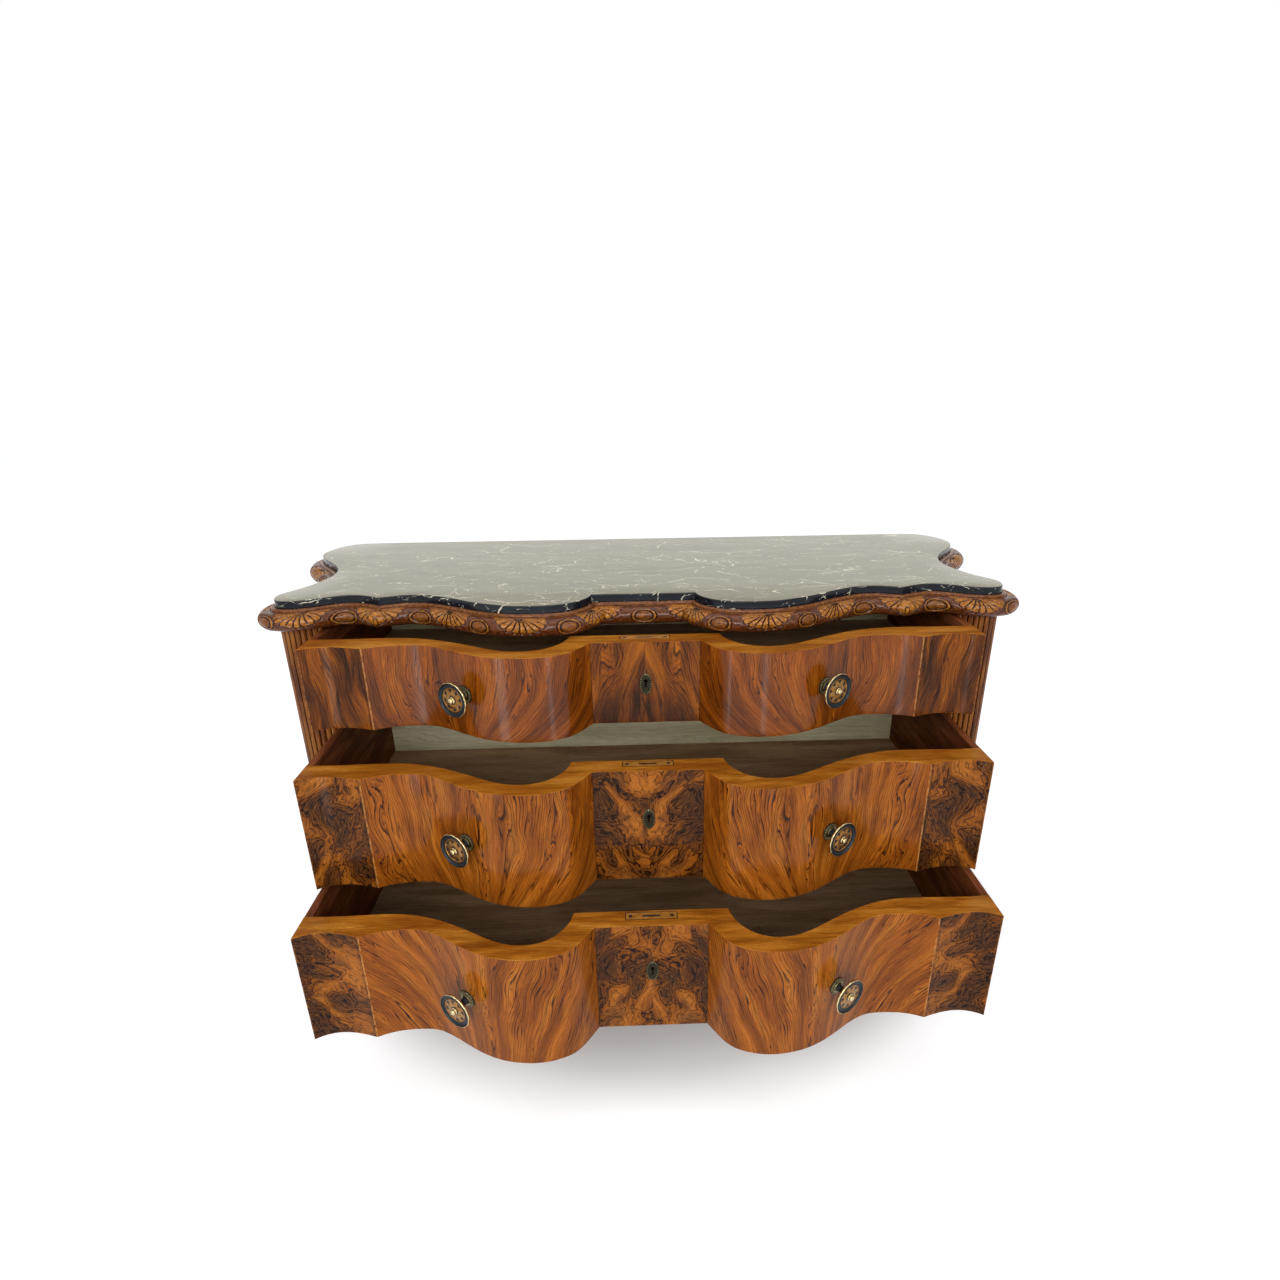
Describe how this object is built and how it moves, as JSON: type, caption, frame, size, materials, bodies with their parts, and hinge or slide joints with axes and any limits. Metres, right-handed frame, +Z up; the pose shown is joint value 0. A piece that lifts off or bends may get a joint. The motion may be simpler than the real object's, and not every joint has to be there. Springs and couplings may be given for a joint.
{
  "type": "serpentine chest of drawers",
  "caption": "Serpentine-fronted walnut chest of drawers with a marble top, carved edge moulding, reeded corners, knobs and locks.",
  "frame": {"origin": "on the floor, in the middle of the width and of the depth that the chest takes up with its drawers as shown", "axes": "+Z up, +X to the right seen from the front, drawers pull out along -Y"},
  "size_m": [1.4272, 0.829, 0.8396],
  "materials": {
    "black_marble": "polished",
    "carved_walnut": "waxed",
    "case_walnut": "waxed",
    "walnut_veneer": "polished",
    "drawer_lining": "waxed",
    "softwood": "bare",
    "knob_bronze": "antique",
    "escutcheon_bronze": "antique",
    "lock_brass": "worn",
    "iron": "dull"
  },
  "bodies": {
    "case": {"back_panel": "softwood", "base_moulding": "case_walnut", "bottom_board": "softwood", "drawer_guides": "softwood", "drawer_runners": "softwood", "drawer_stops": "softwood", "dust_board_lower": "softwood", "dust_board_upper": "softwood", "foot_front_left": "case_walnut", "foot_front_right": "case_walnut", "foot_rear_left": "case_walnut", "foot_rear_right": "case_walnut", "front_post_left": "case_walnut", "front_post_right": "case_walnut", "marble_top": "black_marble", "rail_bottom": "case_walnut", "rail_lower": "case_walnut", "rail_upper": "case_walnut", "rear_post_left": "case_walnut", "rear_post_right": "case_walnut", "side_panel_left": "case_walnut", "side_panel_right": "case_walnut", "top_board": "softwood", "top_moulding": "carved_walnut"},
    "upper_drawer": {"upper_drawer_back": "softwood", "upper_drawer_escutcheon": "escutcheon_bronze", "upper_drawer_floor": "drawer_lining", "upper_drawer_front": "walnut_veneer", "upper_drawer_knob_nuts": "iron", "upper_drawer_knob_plates": "knob_bronze", "upper_drawer_knobs": "knob_bronze", "upper_drawer_lock": "lock_brass", "upper_drawer_lock_screws": "lock_brass", "upper_drawer_side_left": "drawer_lining", "upper_drawer_side_right": "drawer_lining"},
    "upper_lock_bolt": {"upper_drawer_lock_bolt": "lock_brass"},
    "middle_drawer": {"middle_drawer_back": "softwood", "middle_drawer_escutcheon": "escutcheon_bronze", "middle_drawer_floor": "drawer_lining", "middle_drawer_front": "walnut_veneer", "middle_drawer_knob_nuts": "iron", "middle_drawer_knob_plates": "knob_bronze", "middle_drawer_knobs": "knob_bronze", "middle_drawer_lock": "lock_brass", "middle_drawer_lock_screws": "lock_brass", "middle_drawer_side_left": "drawer_lining", "middle_drawer_side_right": "drawer_lining"},
    "middle_lock_bolt": {"middle_drawer_lock_bolt": "lock_brass"},
    "lower_drawer": {"lower_drawer_back": "softwood", "lower_drawer_escutcheon": "escutcheon_bronze", "lower_drawer_floor": "drawer_lining", "lower_drawer_front": "walnut_veneer", "lower_drawer_knob_nuts": "iron", "lower_drawer_knob_plates": "knob_bronze", "lower_drawer_knobs": "knob_bronze", "lower_drawer_lock": "lock_brass", "lower_drawer_lock_screws": "lock_brass", "lower_drawer_side_left": "drawer_lining", "lower_drawer_side_right": "drawer_lining"},
    "lower_lock_bolt": {"lower_drawer_lock_bolt": "lock_brass"}
  },
  "joints": [
    {"name": "upper_drawer_slide", "type": "slide", "parent": "case", "child": "upper_drawer", "axis": [0, -1, 0], "range_m": [-0.106, 0.244]},
    {"name": "upper_bolt_slide", "type": "slide", "parent": "upper_drawer", "child": "upper_lock_bolt", "axis": [0, 0, 1], "range_m": [0, 0.006]},
    {"name": "middle_drawer_slide", "type": "slide", "parent": "case", "child": "middle_drawer", "axis": [0, -1, 0], "range_m": [-0.196, 0.154]},
    {"name": "middle_bolt_slide", "type": "slide", "parent": "middle_drawer", "child": "middle_lock_bolt", "axis": [0, 0, 1], "range_m": [0, 0.006]},
    {"name": "lower_drawer_slide", "type": "slide", "parent": "case", "child": "lower_drawer", "axis": [0, -1, 0], "range_m": [-0.299, 0.051]},
    {"name": "lower_bolt_slide", "type": "slide", "parent": "lower_drawer", "child": "lower_lock_bolt", "axis": [0, 0, 1], "range_m": [0, 0.006]}
  ]
}
